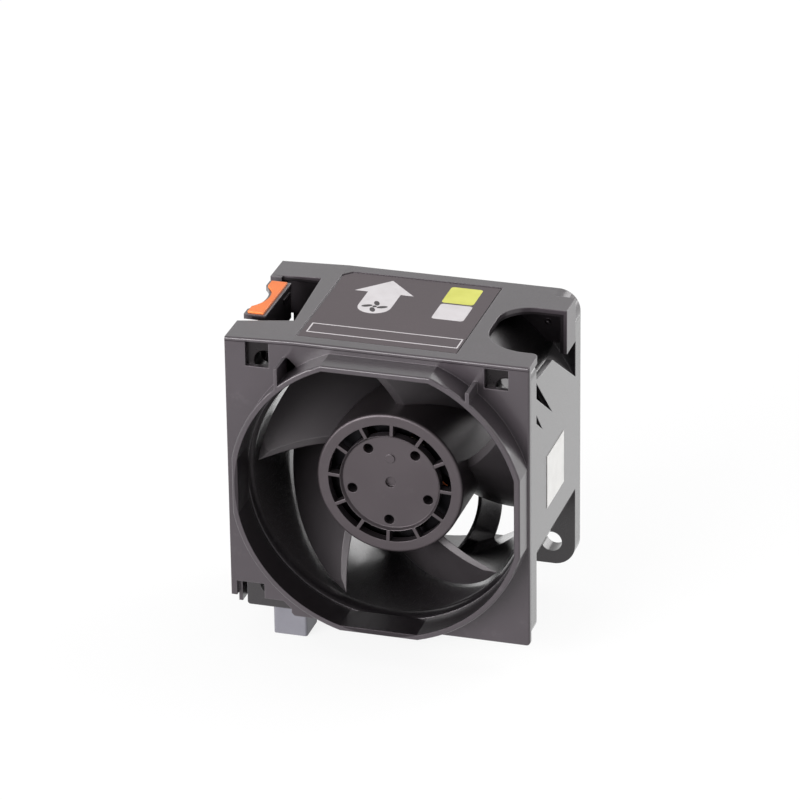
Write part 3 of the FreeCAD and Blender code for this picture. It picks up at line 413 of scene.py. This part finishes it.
finishes = {
    carrierPlastic: ["carrier", "connector_bracket", "latch_arm"],
    labelFilm: ["top_label"],
    whitePaper: ["side_label"],
    connectorPlastic: ["connector_housing"],
    padPlastic: ["latch_pad"],
    housingPlastic: ["fan_housing", "motor_base", "outlet_vanes"],
    impellerPlastic: ["impeller"],
    bladePaintedLightPlastic: ["fan_blades"],
    turnedBrass: ["connector_contacts", "terminal_pins", "bearing_tube", "shaft_boss"],
    bearingSteel: ["front_bearing_outer_ring", "rear_bearing_outer_ring", "front_bearing_inner_ring",
                   "rear_bearing_inner_ring", "bearing_balls", "bearing_shields", "shaft"],
    cupSteelPaintedShade: ["rotor_cup", "preload_spring"],
    coreSheet: ["stator_core"],
    paleNylon: ["front_insulator", "rear_insulator", "retaining_clip"],
    coilCopper: ["windings"],
    greenBoard: ["circuit_board"],
    chipPlastic: ["driver_chips", "hall_sensor"],
    canMetal: ["board_capacitors"],
    magnetFerrite: ["magnet_ring"],
}
for material, nodes in finishes.items():
    for node in nodes:
        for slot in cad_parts[node].material_slots:
            slot.material = material
print("finishes given to", sum(len(nodes) for nodes in finishes.values()), "nodes")


def addPiece(name, mesh, material):
    # a finished mesh becomes a piece that rides on the module, with its place in its mesh
    bmesh.ops.recalc_face_normals(mesh, faces=mesh.faces)
    data = bpy.data.meshes.new(name)
    mesh.to_mesh(data)
    mesh.free()
    data.materials.append(material)
    piece = bpy.data.objects.new(name, data)
    bpy.context.scene.collection.objects.link(piece)
    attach(piece, "module")


def thicken(mesh):
    # flat faces get the thickness of a print
    raised = bmesh.ops.extrude_face_region(mesh, geom=mesh.faces[:])
    top = [item for item in raised["geom"] if isinstance(item, bmesh.types.BMVert)]
    bmesh.ops.translate(mesh, verts=top, vec=(0, 0, printThickness * mm))


def flatOutline(points):
    # a flat face just above the label
    mesh = bmesh.new()
    height = labelTop + printGap
    verts = [mesh.verts.new((x * mm, back(y) * mm, height * mm)) for x, y in points]
    mesh.faces.new(verts)
    mesh.normal_update()
    return mesh


def flatBox(x0, y0, x1, y1):
    return flatOutline([(x0, y0), (x1, y0), (x1, y1), (x0, y1)])


def roundCorners(mesh, radius, segments, chosen=None):
    mesh.verts.ensure_lookup_table()
    verts = [mesh.verts[index] for index in chosen] if chosen else mesh.verts[:]
    bmesh.ops.bevel(mesh, geom=verts, offset=radius * mm, segments=segments, profile=0.5,
                    affect="VERTICES", material=-1, clamp_overlap=True)


arrowPrint = {
    "tip": (-8.1, 34.1), "headLeft": -14.3, "headRight": -1.9, "headBack": 27.7,
    "shaftLeft": -11.5, "shaftRight": -4.6, "tailBack": 17.5, "tailRound": 3.4, "tailSegments": 9,
    "tailCorners": (3, 4),
}


def makeArrow():
    look = arrowPrint
    points = [look["tip"], (look["headLeft"], look["headBack"]), (look["shaftLeft"], look["headBack"]),
              (look["shaftLeft"], look["tailBack"]), (look["shaftRight"], look["tailBack"]),
              (look["shaftRight"], look["headBack"]), (look["headRight"], look["headBack"])]
    mesh = flatOutline(points)
    roundCorners(mesh, look["tailRound"], look["tailSegments"], look["tailCorners"])
    thicken(mesh)
    addPiece("arrowPrint", mesh, paleInk)


signPrint = {
    "middle": (-8.05, 20.9), "blades": 4, "reach": 1.6, "length": 1.15, "width": 0.55,
    "tilt": 24.0, "hub": 0.45, "segments": 14,
}


def makeFanSign():
    # a plain four-bladed fan on the arrow's tail
    look = signPrint
    mesh = bmesh.new()
    for index in range(look["blades"]):
        leaf = bmesh.ops.create_circle(mesh, cap_ends=True, segments=look["segments"], radius=mm)["verts"]
        bmesh.ops.scale(mesh, verts=leaf, vec=(look["length"], look["width"], 1))
        tilt = Matrix.Rotation(math.radians(look["tilt"]), 3, "Z")
        bmesh.ops.rotate(mesh, verts=leaf, matrix=tilt)
        bmesh.ops.translate(mesh, verts=leaf, vec=(look["reach"] * mm, 0, 0))
        turn = Matrix.Rotation(math.tau * index / look["blades"], 3, "Z")
        bmesh.ops.rotate(mesh, verts=leaf, cent=(0, 0, 0), matrix=turn)
    bmesh.ops.create_circle(mesh, cap_ends=True, segments=look["segments"], radius=look["hub"] * mm)
    thicken(mesh)
    x, y = look["middle"]
    height = labelTop + printGap + printThickness + printGap
    bmesh.ops.translate(mesh, verts=mesh.verts, vec=(x * mm, back(y) * mm, height * mm))
    addPiece("fanSignPrint", mesh, darkInk)


patchPrint = {
    "boxes": {"yellow": (4.3, 26.4, 11.0, 34.3), "white": (4.5, 18.3, 11.2, 25.8)},
    "corner": 0.7, "cornerSegments": 5,
}


def makePatches():
    look = patchPrint
    for name, material in (("yellow", yellowInk), ("white", paleInk)):
        mesh = flatBox(*look["boxes"][name])
        roundCorners(mesh, look["corner"], look["cornerSegments"])
        thicken(mesh)
        addPiece(name + "PatchPrint", mesh, material)


framePrint = {"box": (-17.7, 5.6, 13.7, 10.1), "line": 0.3}


def makeFrame():
    # the thin printed frame near the label's front edge
    mesh = flatBox(*framePrint["box"])
    border = bmesh.ops.inset_region(mesh, faces=mesh.faces[:], thickness=framePrint["line"] * mm,
                                    use_boundary=True, use_even_offset=True)["faces"]
    middle = [face for face in mesh.faces if face not in border]
    bmesh.ops.delete(mesh, geom=middle, context="FACES_ONLY")
    thicken(mesh)
    addPiece("framePrint", mesh, paleInk)


makeArrow()
makeFanSign()
makePatches()
makeFrame()
print("label printed")

studio = {
    "floorHeight": -37.05 * mm, "floorSize": 6.0, "floorColor": tone(250, 250, 250), "floorRough": 0.9,
    "floorGlow": 0.85, "white": (1, 1, 1, 1), "worldStrength": 0.6,
    "lamps": {
        "key": {"place": (0.9, 0.5, 0.8), "size": 0.9, "power": 6.5},
        "fill": {"place": (-0.55, -1.0, 0.15), "size": 0.9, "power": 30.0},
        "rim": {"place": (0.6, 1.1, 0.34), "size": 0.9, "power": 7.0},
    },
    "lampAim": (0.0, -0.02, 0.0),
    "cameraPlace": (0.2700, -0.9101, 0.4457), "cameraAim": (0.0008, -0.0306, 0.01624),
    "cameraRoll": -0.775, "cameraLens": 228.5, "cameraSensor": 36, "cameraClip": 0.01,
}


def makeFloor():
    # plain paint that the camera and mirrors see nearly white, with the object's shadow
    mesh = bmesh.new()
    bmesh.ops.create_grid(mesh, x_segments=1, y_segments=1, size=studio["floorSize"] / 2)
    bmesh.ops.translate(mesh, verts=mesh.verts, vec=(0, 0, studio["floorHeight"]))
    data = bpy.data.meshes.new("studioFloor")
    mesh.to_mesh(data)
    mesh.free()
    floor = bpy.data.objects.new("studioFloor", data)
    bpy.context.scene.collection.objects.link(floor)
    finish = Finish("floorPaint")
    finish.feed("Base Color", studio["floorColor"])
    finish.feed("Roughness", studio["floorRough"])
    paint = Link(finish, finish.shader.outputs[0])
    glow = finish.add("ShaderNodeEmission", {}, {"Color": studio["white"], "Strength": 1.0})
    seen = finish.seenOrMirrored() * studio["floorGlow"]
    mixed = finish.add("ShaderNodeMixShader", {}, (seen, paint, glow))
    finish.tree.links.new(mixed.socket, finish.tree.nodes["Material Output"].inputs["Surface"])
    data.materials.append(finish.material)


def makeWorld():
    # soft light from all around, seen as plain white
    world = bpy.data.worlds.new("studioWorld")
    bpy.context.scene.world = world
    world.use_nodes = True
    world.node_tree.nodes.clear()
    nodes = Nodes(world.node_tree)
    lit, seen = [nodes.add("ShaderNodeBackground", {}, {"Color": studio["white"], "Strength": strength})
                 for strength in (studio["worldStrength"], 1.0)]
    mixed = nodes.add("ShaderNodeMixShader", {}, (nodes.seenOrMirrored(), lit, seen))
    nodes.add("ShaderNodeOutputWorld", {}, {"Surface": mixed})


def makeLamp(name, look):
    data = bpy.data.lights.new(name, "AREA")
    data.size = look["size"]
    data.energy = look["power"]
    lamp = bpy.data.objects.new(name, data)
    lamp.location = look["place"]
    aim = Vector(studio["lampAim"]) - lamp.location
    lamp.rotation_euler = aim.to_track_quat("-Z", "Y").to_euler()
    lamp.visible_camera = False
    bpy.context.scene.collection.objects.link(lamp)


def makeCamera():
    data = bpy.data.cameras.new("photoCamera")
    data.sensor_width = studio["cameraSensor"]
    data.lens = studio["cameraLens"]
    data.clip_start = studio["cameraClip"]
    camera = bpy.data.objects.new("photoCamera", data)
    place = Vector(studio["cameraPlace"])
    aim = Vector(studio["cameraAim"])
    turn = (aim - place).to_track_quat("-Z", "Y").to_matrix().to_4x4()
    roll = Matrix.Rotation(math.radians(studio["cameraRoll"]), 4, "Z")
    camera.matrix_world = Matrix.Translation(place) @ turn @ roll
    bpy.context.scene.collection.objects.link(camera)
    bpy.context.scene.camera = camera


makeFloor()
makeWorld()
for name, look in studio["lamps"].items():
    makeLamp(name, look)
makeCamera()
bpy.context.scene.view_settings.view_transform = "Standard"
print("studio set")
